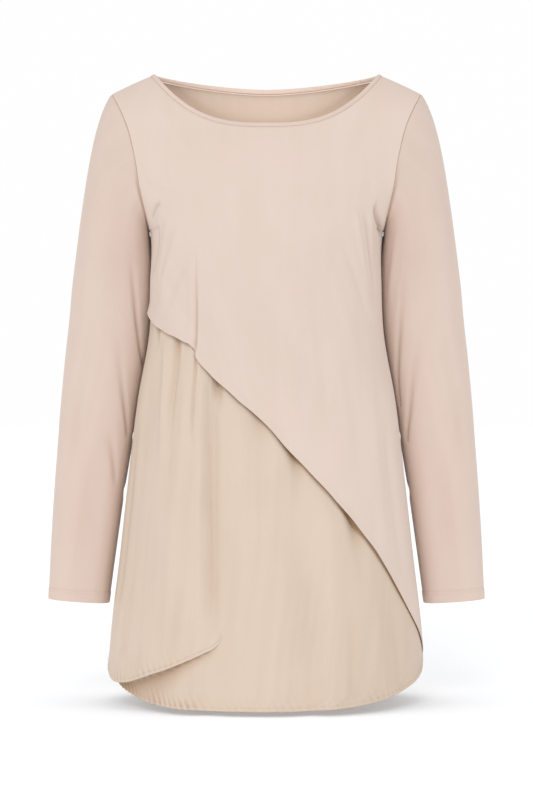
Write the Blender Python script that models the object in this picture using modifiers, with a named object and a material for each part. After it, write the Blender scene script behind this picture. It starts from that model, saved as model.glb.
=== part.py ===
"""Tunic top: a long-sleeved, scoop-necked top in two layers, filled out as if worn.

A jersey overlay with a slanting hem lies over a satin underlay with a shirt-tail hem.
Both hang from the shoulders. X runs across the garment, with the wearer's left at +X.
The front faces -Y, and Z is up. The origin is level with the tops of the shoulder seams
at the neck, on the centre line. All sizes are in metres, and angles in degrees.
"""

import bpy
import numpy as np

# Cloth and seams
WALL = 0.0010             # thickness of one layer of cloth
SEAM_GAP = 0.0003         # space between neighbouring pieces
SEAM_STEP = 0.0018        # from the middle of one layer to the next, where both are sewn
LOOSE_STEP = 0.0034       # the same, where the layers hang free
LOOSE_SIDE = 10           # they also part over this many degrees in from the side seam
LOOSE_FROM = -0.195       # height at which the layers begin to part
LOOSE_BY = -0.260         # height below which they hang free

# Shoulders, neck and armholes
SHOULDER_HALF = 0.191     # from the centre line to the shoulder tip
NECK_HALF = 0.139         # from the centre line to the neck end of the shoulder seam
NECK_DROP_FRONT = 0.0684  # depth of the scoop at the front
NECK_DROP_BACK = 0.0107   # and at the back
NECK_CURVE_FRONT = 2.8    # power of x in the front scoop, and in the back one
NECK_CURVE_BACK = 1.6
BINDING_WIDTH = 0.0050
BINDING_THICK = 0.0026
RIDGE_RISE = 0.033        # height of the shoulder line, carried on to the centre line
RIDGE_CURVE = 1.7
SHOULDER_ROLL = 0.15      # depth below the shoulder line over which front and back round over
UNDERARM = -0.195         # height of the bottom of the armhole
ARMHOLE_HALF = 0.060      # half its width, front to back
ARMHOLE_TURN = -0.120     # height at which its sides begin to curve in
ARMHOLE_CLEAR = 0.0018    # from the panels' edge to the middle of the sleeve's wall
ARMHOLE_REACH = 62        # degrees from the centre line at which the edge begins to tell
CHEST_BLEND = 0.07        # height over which the body's oval becomes the armhole's shape
BELOW_UNDERARM = -0.228   # a row that every panel has, where the side turns from the armhole
OVAL_FULLNESS = 0.12      # how far the oval is filled out between front and side

# height, half width, depth of the front, depth of the back
BODY_SECTIONS = (
    (0.040, 0.1910, 0.060, 0.070),
    (0.000, 0.1910, 0.072, 0.082),
    (-0.025, 0.1910, 0.076, 0.088),
    (-0.043, 0.1820, 0.079, 0.092),
    (-0.067, 0.1714, 0.083, 0.096),
    (-0.102, 0.1619, 0.098, 0.102),
    (-0.143, 0.1545, 0.114, 0.106),
    (-0.195, 0.1440, 0.126, 0.106),
    (-0.214, 0.1420, 0.128, 0.104),
    (-0.262, 0.1418, 0.128, 0.100),
    (-0.318, 0.1440, 0.124, 0.096),
    (-0.406, 0.1590, 0.121, 0.100),
    (-0.502, 0.1705, 0.126, 0.112),
    (-0.593, 0.1805, 0.133, 0.122),
    (-0.706, 0.1930, 0.140, 0.130),
    (-0.790, 0.1955, 0.145, 0.135),
)

# Hems
HEM_LOW = -0.777          # the shirt-tail hem at the middle of the front and back
HEM_RISE = 0.047          # and its rise to the side seams
HEM_CURVE_RIGHT = 3.5     # power of the angle in that rise, on the wearer's right
HEM_CURVE_LEFT = 2.4      # and on the left
LINING_SHORT = 0.012      # how much shorter the back lining is than the back

# angle round the front from the centre line (wearer's right below zero), height of the edge
OVERLAY_HEM = (
    (-90, -0.288),
    (-70, -0.311),
    (-50, -0.328),
    (-37, -0.343),
    (-33, -0.359),
    (-20, -0.389),
    (0, -0.436),
    (15, -0.484),
    (33, -0.543),
    (50, -0.599),
    (68, -0.664),
    (80, -0.700),
    (90, -0.722),
)
OVERLAP_HEM = (
    (-90, -0.726),
    (-69, -0.748),
    (-51, -0.741),
    (-36, -0.727),
    (-23, -0.709),
    (-16, -0.692),
)
OVERLAP_ABOVE = 0.035     # how far the overlap runs up under the overlay's hem
OVERLAP_TIP = -16.2       # angle of its free edge at the hem
OVERLAP_TIP_HEIGHT = -0.692
OVERLAP_SLANT = 26.5      # how far that edge turns away, in degrees a metre going up

# Folds: angle of the middle, height of its top and bottom, half width in degrees, height
FRONT_FOLDS = (
    (-32, -0.36, -0.80, 8, 0.0050),
    (-21, -0.40, -0.80, 6, -0.0040),
    (-58, -0.30, -0.80, 10, -0.0040),
    (2, -0.45, -0.80, 9, 0.0025),
    (16, -0.52, -0.80, 8, -0.0035),
    (27, -0.50, -0.80, 9, 0.0040),
    (60, -0.42, -0.80, 11, -0.0035),
    (-70, -0.13, -0.28, 9, -0.0030),
    (70, -0.13, -0.28, 9, -0.0030),
)
BACK_FOLDS = (
    (-52, -0.28, -0.80, 9, -0.0045),
    (-33, -0.36, -0.80, 9, 0.0045),
    (-6, -0.24, -0.70, 8, -0.0035),
    (12, -0.40, -0.80, 9, 0.0035),
    (36, -0.32, -0.80, 10, -0.0040),
    (58, -0.40, -0.80, 9, 0.0040),
)
FOLD_FADE_IN = 0.08       # height over which a fold grows below its top
FOLD_FADE_OUT = 0.02      # and dies away below its bottom
FOLD_SIDE = 12            # degrees in from the side seam over which the folds grow

# Sleeves: height, nearest and farthest distance from the centre line, half depth, middle in Y
SLEEVE_SECTIONS = (
    (-0.206, 0.1470, 0.2362, 0.058, 0.014),
    (-0.230, 0.1436, 0.2402, 0.055, 0.026),
    (-0.256, 0.1436, 0.2440, 0.054, 0.032),
    (-0.306, 0.1456, 0.2483, 0.052, 0.033),
    (-0.352, 0.1514, 0.2528, 0.050, 0.032),
    (-0.406, 0.1611, 0.2579, 0.047, 0.031),
    (-0.465, 0.1702, 0.2629, 0.045, 0.027),
    (-0.518, 0.1790, 0.2666, 0.043, 0.024),
    (-0.575, 0.1872, 0.2698, 0.040, 0.020),
    (-0.620, 0.1935, 0.2718, 0.038, 0.018),
    (-0.655, 0.1980, 0.2732, 0.036, 0.016),
)
SLEEVE_FLATNESS = 0.85    # power of the sine and cosine round a sleeve; 1 is a true oval
CAP_SWELL = 0.60          # how early the sleeve cap goes outwards
CAP_FALL = 0.18           # and how early it falls

# Fineness of the faceted walls
NECK_COLUMNS = 14
SHOULDER_COLUMNS = 5
UPPER_ROWS = 8            # from the top edge to the underarm
UNDERLAY_ROWS = 10        # from the underarm to the hem
OVERLAY_ROWS = 8
OVERLAP_COLUMNS = 4       # from the neck corner's column to its free edge
OVERLAP_ROWS = 10
CAP_ROWS = 4
SETTLE_STEPS = 60         # halvings that settle an edge's height on the curved form

BLUSH = (0.79, 0.60, 0.51)
PALE_BLUSH = (0.76, 0.57, 0.48)
BEIGE = (0.70, 0.56, 0.46)
TAN = (0.62, 0.47, 0.38)


def smooth_table(rows, column, at):
    """Carries a column of a table smoothly between its rows, with cubic pieces."""
    table = np.array(rows, float)
    table = table[np.argsort(table[:, 0])]
    places = table[:, 0]
    values = table[:, column]
    slopes = np.gradient(values, places)
    at = np.clip(at, places[0], places[-1])
    row = np.clip(np.searchsorted(places, at) - 1, 0, len(places) - 2)
    span = places[row + 1] - places[row]
    s = (at - places[row]) / span
    start = (1 + 2 * s) * (1 - s) ** 2 * values[row] + s * (1 - s) ** 2 * span * slopes[row]
    end = s ** 2 * (3 - 2 * s) * values[row + 1] - s ** 2 * (1 - s) * span * slopes[row + 1]
    return start + end


def straight_table(rows, at):
    """Carries the second column of a table in straight lines between its rows."""
    table = np.array(rows, float)
    return np.interp(at, table[:, 0], table[:, 1])


def ease(value):
    """Goes smoothly from 0 to 1 as the value does."""
    value = np.clip(value, 0, 1)
    return value * value * (3 - 2 * value)


def shoulder_line(x):
    return RIDGE_RISE * (1 - (np.abs(x) / NECK_HALF) ** RIDGE_CURVE)


def neck_line(side, x, inset):
    """Height of the neck edge, or of a line a little way in from it."""
    drop = NECK_DROP_FRONT if side < 0 else NECK_DROP_BACK
    power = NECK_CURVE_FRONT if side < 0 else NECK_CURVE_BACK
    corner = NECK_HALF + inset
    start = shoulder_line(corner)
    return start - (drop + inset + start) * (1 - np.minimum(np.abs(x) / corner, 1) ** power)


def neck_angle(inset):
    return np.degrees(np.arcsin((NECK_HALF + inset) / SHOULDER_HALF))


def armhole_depth(angle, height):
    """Half the armhole's width: level above, and closing to the underarm as an oval.

    Away from the edge the cloth follows it as a soft slope, with no crease.
    """
    below = np.clip((ARMHOLE_TURN - height) / (ARMHOLE_TURN - UNDERARM), 0, 1)
    oval = np.where(height > UNDERARM, np.sqrt(1 - below ** 2), 0)
    slope = ease((height - UNDERARM + CHEST_BLEND) / (ARMHOLE_TURN - UNDERARM + CHEST_BLEND))
    at_edge = ease((np.abs(angle) - ARMHOLE_REACH) / (90 - ARMHOLE_REACH))
    return ARMHOLE_HALF * (slope + (oval - slope) * at_edge)


def fold_height(folds, angle, height):
    """Sums the folds: each is a soft ridge across, fading in and out along its length."""
    total = np.zeros_like(angle)
    for middle, top, bottom, half_width, rise in folds:
        across = np.exp(-((angle - middle) / half_width) ** 2)
        fade_in = ease((top - height) / FOLD_FADE_IN)
        along = fade_in * ease((height - bottom) / FOLD_FADE_OUT + 1)
        total = total + rise * across * along
    return total


def bare_torso(side, angle, height):
    """A point of the form: an oval section whose front and back meet at the shoulder line."""
    turn = np.radians(angle)
    half = smooth_table(BODY_SECTIONS, 1, height)
    centre = smooth_table(BODY_SECTIONS, 2 if side < 0 else 3, height)
    x = half * np.sin(turn)
    rise = ease((height - UNDERARM) / CHEST_BLEND)
    oval = np.cos(turn) * (1 + OVAL_FULLNESS * np.sin(turn) ** 2)
    across = (1 - rise) * oval + rise * np.cos(turn) ** 2
    below = np.clip((shoulder_line(x) - height) / SHOULDER_ROLL, 0, 1)
    roll = np.sqrt(1 - (1 - below) ** 2)
    edge = armhole_depth(angle, height)
    y = side * (edge + (centre - edge) * across) * roll
    return np.stack([x, y, height], -1)


def torso(side, angle, height, lift):
    """A point of the form, moved out square to it by the folds and the lift."""
    step_angle = 0.4
    step_height = 0.001
    # the slopes are taken a little inside the side edges, where the form still has both
    inner = np.clip(angle, -89.0, 89.0)
    low = height - step_height
    across = bare_torso(side, inner + step_angle, low) - bare_torso(side, inner - step_angle, low)
    down = bare_torso(side, inner, low - step_height) - bare_torso(side, inner, low)
    out = np.cross(across, down) * side
    out = out / np.linalg.norm(out, axis=-1, keepdims=True)
    fade = ease((90 - np.abs(angle)) / FOLD_SIDE)
    folds = FRONT_FOLDS if side < 0 else BACK_FOLDS
    move = fold_height(folds, angle, height) * fade + lift
    points = bare_torso(side, angle, height) + out * move[..., None]
    # the roll over the shoulder keeps front and back apart by the seam's gap
    clear = SEAM_GAP / 2 + WALL / 4
    points[..., 1] = side * np.maximum(side * points[..., 1], clear)
    return points


def layer_lift(sewn_layer, loose_layer, angle, height):
    """How far out a layer lies: so many layers from the innermost, close together at seams."""
    parted = ease((LOOSE_FROM - height) / (LOOSE_FROM - LOOSE_BY))
    layer = sewn_layer + (loose_layer - sewn_layer) * parted
    free = parted * ease((90 - np.abs(angle)) / LOOSE_SIDE)
    return layer * (SEAM_STEP + (LOOSE_STEP - SEAM_STEP) * free)


def neck_shares():
    """Places across the neck from -1 to 1, closer together towards its corners."""
    even = np.linspace(-1, 1, NECK_COLUMNS + 1)
    return (even + np.sin(even * np.pi / 2)) / 2


def columns():
    """Angles of the panels' columns, one of them at each corner of the neck."""
    corner = neck_angle(BINDING_WIDTH + SEAM_GAP)
    neck = corner * neck_shares()
    side = np.linspace(corner, 90, SHOULDER_COLUMNS + 1)[1:]
    return np.concatenate([-side[::-1], neck, side])


def top_edge(side, angle):
    """Height of a column's top: the shoulder seam, or the neckline between its corners."""
    inset = BINDING_WIDTH + SEAM_GAP
    height = np.zeros_like(angle)
    for _ in range(SETTLE_STEPS):
        x = smooth_table(BODY_SECTIONS, 1, height) * np.sin(np.radians(angle))
        edge = np.where(np.abs(x) < NECK_HALF + inset, neck_line(side, x, inset), shoulder_line(x))
        height = (height + edge) / 2
    return height


def shirt_tail(angle):
    """Height of the curved hem: low in the middle, rising to the side seams."""
    curve = np.where(angle < 0, HEM_CURVE_RIGHT, HEM_CURVE_LEFT)
    return HEM_LOW + HEM_RISE * (np.abs(angle) / 90) ** curve


def upper_spacing():
    """Rows from the top edge to the underarm, closer at both ends."""
    return (1 - np.cos(np.pi * np.arange(UPPER_ROWS + 1) / UPPER_ROWS)) / 2


def panel_points(side, sewn_layer, loose_layer, hem, lower_rows):
    """Rows and columns of a whole front or back: top edge, underarm level, then hem."""
    angle = columns()
    top = top_edge(side, angle)
    upper = top + (UNDERARM - top) * upper_spacing()[:, None]
    lower = BELOW_UNDERARM + (hem - BELOW_UNDERARM) * np.linspace(0, 1, lower_rows)[:, None]
    height = np.concatenate([upper, lower])
    angle = np.broadcast_to(angle, height.shape)
    return torso(side, angle, height, layer_lift(sewn_layer, loose_layer, angle, height))


def open_sheet(name, points, outward, closed, thick, colour, roughness):
    """Makes an open surface from a grid of points and gives it its wall."""
    rows, across = points.shape[:2]
    number = np.arange(rows * across).reshape(rows, across)
    if closed:
        number = np.concatenate([number, number[:, :1]], 1)
    corners = [number[:-1, :-1], number[1:, :-1], number[1:, 1:], number[:-1, 1:]]
    faces = np.stack(corners, -1).reshape(-1, 4)
    if not outward:
        faces = faces[:, ::-1]
    mesh = bpy.data.meshes.new(name)
    mesh.from_pydata(points.reshape(-1, 3).tolist(), [], faces.tolist())
    mesh.validate()
    mesh.shade_smooth()
    piece = bpy.data.objects.new(name, mesh)
    collection.objects.link(piece)
    wall = piece.modifiers.new("cloth_wall", "SOLIDIFY")
    wall.thickness = thick
    wall.offset = 0
    wall.use_even_offset = False
    cloth = bpy.data.materials.new(name)
    cloth.use_nodes = True
    shader = cloth.node_tree.nodes["Principled BSDF"]
    shader.inputs["Base Color"].default_value = (*colour, 1)
    shader.inputs["Roughness"].default_value = roughness
    shader.inputs["Metallic"].default_value = 0
    mesh.materials.append(cloth)
    return piece


def front_underlay():
    """Beige satin front under everything: neck to shirt-tail hem."""
    points = panel_points(-1, 0, 0, shirt_tail(columns()), UNDERLAY_ROWS)
    open_sheet("front_underlay", points, True, False, WALL, BEIGE, 0.45)


def front_overlay():
    """Blush jersey front on top, cut off on a slant from one side to the other."""
    points = panel_points(-1, 1, 2, straight_table(OVERLAY_HEM, columns()), OVERLAY_ROWS)
    open_sheet("front_overlay", points, True, False, WALL, BLUSH, 0.85)


def front_overlap():
    """Beige satin flap between the two, from the wearer's right side to its free edge."""
    side = columns()[:SHOULDER_COLUMNS + 1]
    share = np.concatenate([np.zeros(SHOULDER_COLUMNS), np.linspace(0, 1, OVERLAP_COLUMNS + 1)])
    start = np.concatenate([side, np.full(OVERLAP_COLUMNS, side[-1])])
    along = np.linspace(0, 1, OVERLAP_ROWS + 1)[:, None]
    height = np.full((OVERLAP_ROWS + 1, len(share)), OVERLAP_TIP_HEIGHT)
    for _ in range(SETTLE_STEPS):
        free_edge = OVERLAP_TIP - OVERLAP_SLANT * (height - OVERLAP_TIP_HEIGHT)
        angle = start + (free_edge - start) * share
        top = straight_table(OVERLAY_HEM, angle) + OVERLAP_ABOVE
        hem = smooth_table(OVERLAP_HEM, 1, angle)
        height = (height + top + (hem - top) * along) / 2
    points = torso(-1, angle, height, layer_lift(1, 1, angle, height))
    open_sheet("front_overlap", points, True, False, WALL, BEIGE, 0.45)


def back():
    """Blush jersey back: neck to shirt-tail hem."""
    points = panel_points(1, 1, 1, shirt_tail(columns()), UNDERLAY_ROWS)
    open_sheet("back", points, False, False, WALL, BLUSH, 0.85)


def back_lining():
    """Beige layer inside the back, a little shorter."""
    points = panel_points(1, 0, 0, shirt_tail(columns()), UNDERLAY_ROWS)
    last_row = points[-1] - points[-2]
    points[-1] -= last_row * LINING_SHORT / np.linalg.norm(last_row, axis=-1, keepdims=True)
    open_sheet("back_lining", points, False, False, WALL, TAN, 0.5)


def armhole_ring(hand):
    """The armhole's edge, from the shoulder tip down the front and up the back."""
    top = shoulder_line(SHOULDER_HALF)
    height = top + (UNDERARM - top) * upper_spacing()
    angle = np.full_like(height, 90.0)
    lean = np.gradient(smooth_table(BODY_SECTIONS, 1, height), height)
    out = np.stack([np.ones_like(lean), np.zeros_like(lean), -lean], -1)
    out = out / np.linalg.norm(out, axis=-1, keepdims=True)
    sides = []
    for side in (-1, 1):
        edge = torso(side, angle, height, np.zeros_like(height))
        face = torso(side, angle, height, np.full_like(height, SEAM_STEP + WALL / 2))
        proud = np.maximum(np.sum((face - edge) * out, -1), 0)
        sides.append(edge + out * (ARMHOLE_CLEAR + proud)[:, None])
    ring = np.concatenate([sides[0], sides[1][-2:0:-1]])
    return ring * np.array([hand, 1, 1])


def flattened(share):
    """A sine or cosine pushed towards 1 and -1, which flattens an oval's four sides."""
    return np.sign(share) * np.abs(share) ** SLEEVE_FLATNESS


def sleeve(name, hand):
    """A tube: its cap swells from the armhole, then it hangs to the turned-up hem."""
    armhole = armhole_ring(hand)
    around = 2 * np.pi * np.arange(len(armhole)) / len(armhole)
    rings = []
    for height, near, far, half_depth, set_back in SLEEVE_SECTIONS:
        middle = (near + far) / 2
        half_width = (far - near) / 2
        x = hand * (middle + half_width * flattened(np.cos(around)))
        y = set_back - half_depth * flattened(np.sin(around))
        rings.append(np.stack([x, y, np.full_like(x, height)], -1))
    cap = []
    for t in np.linspace(0, 1, CAP_ROWS + 1)[:-1]:
        swell = 2 * CAP_SWELL * t * (1 - t) + t * t
        fall = 2 * CAP_FALL * t * (1 - t) + t * t
        cap.append(armhole + (rings[0] - armhole) * np.array([swell, swell, fall]))
    points = np.array(cap + rings)
    open_sheet(name, points, hand < 0, True, WALL, BLUSH, 0.85)


def neck_binding():
    """A narrow strip folded over the edge all round the neck."""
    share = neck_shares()
    rows = []
    for inset in (0.0, BINDING_WIDTH):
        loop = []
        for side in (-1, 1):
            angle = share * neck_angle(inset)
            x = SHOULDER_HALF * np.sin(np.radians(angle))
            height = neck_line(side, x, inset)
            for _ in range(SETTLE_STEPS):
                x = smooth_table(BODY_SECTIONS, 1, height) * np.sin(np.radians(angle))
                height = (height + neck_line(side, x, inset)) / 2
            edge = torso(side, angle, height, np.full_like(height, SEAM_STEP / 2))
            if side > 0:
                edge = edge[-2:0:-1]
            loop.append(edge)
        rows.append(np.concatenate(loop))
    open_sheet("neck_binding", np.array(rows), True, True, BINDING_THICK, PALE_BLUSH, 0.8)


for old in list(bpy.data.objects):
    bpy.data.objects.remove(old, do_unlink=True)
collection = bpy.data.collections.new("tunic_top")
bpy.context.scene.collection.children.link(collection)

front_underlay()
front_overlap()
front_overlay()
back_lining()
back()
sleeve("sleeve_right", -1)
sleeve("sleeve_left", 1)
neck_binding()
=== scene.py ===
import bpy
import numpy as np
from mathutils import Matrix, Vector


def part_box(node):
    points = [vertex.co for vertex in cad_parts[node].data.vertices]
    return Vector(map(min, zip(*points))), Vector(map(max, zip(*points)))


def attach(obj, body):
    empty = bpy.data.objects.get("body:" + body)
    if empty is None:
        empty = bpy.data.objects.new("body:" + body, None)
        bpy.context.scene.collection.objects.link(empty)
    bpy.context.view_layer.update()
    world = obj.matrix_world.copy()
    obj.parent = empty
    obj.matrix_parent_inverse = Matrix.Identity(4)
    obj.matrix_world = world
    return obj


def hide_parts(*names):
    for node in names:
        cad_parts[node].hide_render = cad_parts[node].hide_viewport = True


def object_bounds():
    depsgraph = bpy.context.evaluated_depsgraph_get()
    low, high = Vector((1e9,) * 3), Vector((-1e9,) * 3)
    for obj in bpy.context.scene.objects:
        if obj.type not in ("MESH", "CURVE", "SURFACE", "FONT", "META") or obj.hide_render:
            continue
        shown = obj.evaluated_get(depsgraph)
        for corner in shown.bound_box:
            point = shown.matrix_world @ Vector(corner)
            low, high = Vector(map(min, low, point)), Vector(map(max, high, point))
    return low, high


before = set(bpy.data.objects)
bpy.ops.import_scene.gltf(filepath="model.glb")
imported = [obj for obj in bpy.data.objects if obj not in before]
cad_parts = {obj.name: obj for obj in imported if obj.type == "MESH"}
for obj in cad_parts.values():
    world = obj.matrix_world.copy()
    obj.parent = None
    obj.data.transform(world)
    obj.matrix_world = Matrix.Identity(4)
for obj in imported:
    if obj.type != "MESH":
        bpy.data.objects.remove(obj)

cad_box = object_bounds()

# Camera, floor and light
# The top hangs filled out just clear of a white studio floor. A camera at the height of its
# middle looks straight at the front, in even light from all round that is stronger in front.
EYE_HEIGHT = -0.4056
EYE_DISTANCE = 3.0
FRAME_TALL = 1.0
SENSOR = 36.0
HEM_TO_FLOOR = 0.006
FLOOR_REACH = 30.0

lens = bpy.data.cameras.new("front_camera")
lens.sensor_width = SENSOR
lens.lens = SENSOR * EYE_DISTANCE / FRAME_TALL
camera = bpy.data.objects.new("front_camera", lens)
camera.location = (0, -EYE_DISTANCE, EYE_HEIGHT)
camera.rotation_euler = (np.pi / 2, 0, 0)
bpy.context.scene.collection.objects.link(camera)
bpy.context.scene.camera = camera
bpy.context.scene.view_settings.view_transform = "Standard"

floor_height = cad_box[0][2] - HEM_TO_FLOOR
floor_mesh = bpy.data.meshes.new("studio_floor")
floor_mesh.from_pydata(
    [(-FLOOR_REACH, -FLOOR_REACH, floor_height), (FLOOR_REACH, -FLOOR_REACH, floor_height),
     (FLOOR_REACH, FLOOR_REACH, floor_height), (-FLOOR_REACH, FLOOR_REACH, floor_height)],
    [], [(0, 1, 2, 3)])
floor = bpy.data.objects.new("studio_floor", floor_mesh)
bpy.context.scene.collection.objects.link(floor)
floor_paint = bpy.data.materials.new("studio_white")
floor_paint.use_nodes = True
paint = floor_paint.node_tree.nodes["Principled BSDF"]
paint.inputs["Base Color"].default_value = (0.86, 0.885, 0.92, 1)
paint.inputs["Roughness"].default_value = 0.95
paint.inputs["Specular IOR Level"].default_value = 0.0
paint.inputs["Emission Color"].default_value = (0.99, 1, 1, 1)
paint.inputs["Emission Strength"].default_value = 0.28
floor_mesh.materials.append(floor_paint)

studio = bpy.data.worlds.new("studio")
bpy.context.scene.world = studio
studio.use_nodes = True
sky_nodes = studio.node_tree.nodes
sky_links = studio.node_tree.links
ambient = sky_nodes["Background"]
ambient.inputs["Color"].default_value = (1.0, 0.995, 0.99, 1)
ambient.inputs["Strength"].default_value = 0.765
backdrop = sky_nodes.new("ShaderNodeBackground")
backdrop.inputs["Color"].default_value = (1, 1, 1, 1)
backdrop.inputs["Strength"].default_value = 0.995
seen = sky_nodes.new("ShaderNodeLightPath")
either = sky_nodes.new("ShaderNodeMixShader")
sky_links.new(seen.outputs["Is Camera Ray"], either.inputs["Fac"])
sky_links.new(ambient.outputs["Background"], either.inputs[1])
sky_links.new(backdrop.outputs["Background"], either.inputs[2])
sky_links.new(either.outputs["Shader"], sky_nodes["World Output"].inputs["Surface"])

# name, strength, spread in degrees, direction that it shines in
SOFT_LIGHTS = (
    ("key_light", 0.67, 22, (0.10, 0.85, -0.52)),
    ("left_light", 0.17, 50, (0.85, 0.50, -0.20)),
    ("right_light", 0.11, 50, (-0.85, 0.50, -0.20)),
)
for light_name, strength, spread, shines in SOFT_LIGHTS:
    lamp = bpy.data.lights.new(light_name, "SUN")
    lamp.energy = strength
    lamp.angle = np.radians(spread)
    holder = bpy.data.objects.new(light_name, lamp)
    tilt = np.arccos(-shines[2] / np.linalg.norm(shines))
    holder.rotation_euler = (tilt, 0, np.arctan2(shines[1], shines[0]) - np.pi / 2)
    bpy.context.scene.collection.objects.link(holder)

# a soft lamp within the neck, which lights the inside of the back
glow = bpy.data.lights.new("neck_light", "AREA")
glow.shape = "RECTANGLE"
glow.size = 0.20
glow.size_y = 0.04
glow.energy = 0.16
glow_holder = bpy.data.objects.new("neck_light", glow)
glow_holder.location = (0, -0.035, -0.115)
glow_holder.rotation_euler = (np.radians(125), 0, 0)
glow_holder.visible_camera = False
bpy.context.scene.collection.objects.link(glow_holder)


# Front underlay
# The beige satin crepe front that hangs from the neck and shoulders under the jersey, down to
# a shirt-tail hem. It is cut in one piece and sewn in at the shoulders, armholes and sides.
# Every other panel follows the same filled-out form, so the form is worked out here.
UNDERARM = -0.195
SHOULDER_HALF = 0.191
NECK_HALF = 0.139
RIDGE_RISE = 0.033        # height of the shoulder line, carried on to the centre line
RIDGE_CURVE = 1.7
NECK_SCOOP = {-1: (0.0684, 2.8), 1: (0.0107, 1.6)}    # depth and power, front and back
ARMHOLE_HALF = 0.060      # half its width, front to back
ARMHOLE_TURN = -0.120     # height at which its sides begin to curve in
ARMHOLE_CLOSE = 0.075     # height over which they close
INNER_SLOPE_START = 0.07  # how far below the underarm the form starts to open for the arm
INNER_SLOPE_SPAN = 0.145  # and the height over which it opens
CHEST_BLEND = 0.07        # height above the underarm over which the oval becomes a squared cosine
OVAL_FULLNESS = 0.12
SHOULDER_ROLL = 0.15      # depth below the shoulder line over which front and back round over
SLOPE_DEGREES = 0.4       # steps over which the form's slopes are taken
SLOPE_HEIGHT = 0.001
BINDING_WIDTH = 0.0050
SEAM_GAP = 0.0003
CLOTH_THICK = 0.0007
PER_DEGREE = 0.0026       # metres of cloth across one degree, about
SETTLE_STEPS = 40         # steps, each half of the way, that settle a height on its edge

# height, half width, depth of the front, depth of the back
BODY_SECTIONS = (
    (0.040, 0.1910, 0.060, 0.070),
    (0.000, 0.1910, 0.072, 0.082),
    (-0.025, 0.1910, 0.076, 0.088),
    (-0.043, 0.1820, 0.079, 0.092),
    (-0.067, 0.1714, 0.083, 0.096),
    (-0.102, 0.1619, 0.098, 0.102),
    (-0.143, 0.1545, 0.114, 0.106),
    (-0.195, 0.1440, 0.126, 0.106),
    (-0.214, 0.1420, 0.128, 0.104),
    (-0.262, 0.1418, 0.128, 0.100),
    (-0.318, 0.1440, 0.124, 0.096),
    (-0.406, 0.1590, 0.121, 0.100),
    (-0.502, 0.1705, 0.126, 0.112),
    (-0.593, 0.1805, 0.133, 0.122),
    (-0.706, 0.1930, 0.140, 0.130),
    (-0.790, 0.1955, 0.145, 0.135),
)


def smooth_table(rows, column, at):
    """Carries a column of a table smoothly between its rows, with cubic pieces."""
    table = np.array(rows, float)
    table = table[np.argsort(table[:, 0])]
    places = table[:, 0]
    values = table[:, column]
    slopes = np.gradient(values, places)
    at = np.clip(at, places[0], places[-1])
    row = np.clip(np.searchsorted(places, at) - 1, 0, len(places) - 2)
    span = places[row + 1] - places[row]
    s = (at - places[row]) / span
    start = (1 + 2 * s) * (1 - s) ** 2 * values[row] + s * (1 - s) ** 2 * span * slopes[row]
    end = s ** 2 * (3 - 2 * s) * values[row + 1] - s ** 2 * (1 - s) * span * slopes[row + 1]
    return start + end


def ease(value):
    """Goes smoothly from 0 to 1 as the value does: 3v^2 - 2v^3."""
    value = np.clip(value, 0, 1)
    return value * value * (3 - 2 * value)


def shoulder_line(x):
    """Height of the shoulder seam: 33 mm less its share at x, to the power 1.7."""
    return RIDGE_RISE * (1 - (np.abs(x) / NECK_HALF) ** RIDGE_CURVE)


def neck_line(side, x, inset):
    """Height of the neck edge: a scoop in |x| to the power 2.8 in front, 1.6 behind."""
    drop, power = NECK_SCOOP[side]
    corner = NECK_HALF + inset
    start = shoulder_line(corner)
    return start - (drop + inset + start) * (1 - np.minimum(np.abs(x) / corner, 1) ** power)


def armhole_depth(angle, height):
    """Half the armhole's width: 60 mm, closing as an oval at its edge and as a slope inside."""
    below = np.clip((ARMHOLE_TURN - height) / ARMHOLE_CLOSE, 0, 1)
    oval = np.where(height > UNDERARM, np.sqrt(1 - below ** 2), 0)
    slope = ease((height - UNDERARM + INNER_SLOPE_START) / INNER_SLOPE_SPAN)
    at_edge = ease((np.abs(angle) - 62) / 28)
    return ARMHOLE_HALF * (slope + (oval - slope) * at_edge)


def bare_form(side, angle, height):
    """The filled-out form: an oval section, whose front and back meet at the shoulders.

    x = half width * sin(angle). y goes from the armhole's edge at the side out to the
    front's or back's depth, all times a quarter circle of the depth below the shoulder line.
    """
    turn = np.radians(angle)
    half = smooth_table(BODY_SECTIONS, 1, height)
    centre = smooth_table(BODY_SECTIONS, 2 if side < 0 else 3, height)
    x = half * np.sin(turn)
    rise = ease((height - UNDERARM) / CHEST_BLEND)
    oval = np.cos(turn) * (1 + OVAL_FULLNESS * np.sin(turn) ** 2)
    across = (1 - rise) * oval + rise * np.cos(turn) ** 2
    below = np.clip((shoulder_line(x) - height) / SHOULDER_ROLL, 0, 1)
    roll = np.sqrt(1 - (1 - below) ** 2)
    edge = armhole_depth(angle, height)
    y = side * (edge + (centre - edge) * across) * roll
    return np.stack([x, y, height], -1)


def outward(side, angle, height):
    """Unit directions square to the form, from the slopes across and down it.

    They are taken a little inside the side edges, where the form still has both slopes.
    """
    inner = np.clip(angle, -89.0, 89.0)
    low = height - SLOPE_HEIGHT
    across = bare_form(side, inner + SLOPE_DEGREES, low) - bare_form(side, inner - SLOPE_DEGREES, low)
    down = bare_form(side, inner, low - SLOPE_HEIGHT) - bare_form(side, inner, low)
    out = np.cross(across, down) * side
    return out / np.linalg.norm(out, axis=-1, keepdims=True)


def form(side, angle, height, lift):
    """Points of the form moved square to it by the lift, front and back kept a gap apart."""
    points = bare_form(side, angle, height) + outward(side, angle, height) * lift[..., None]
    points[..., 1] = side * np.maximum(side * points[..., 1], SEAM_GAP / 2 + CLOTH_THICK / 4)
    return points


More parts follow.
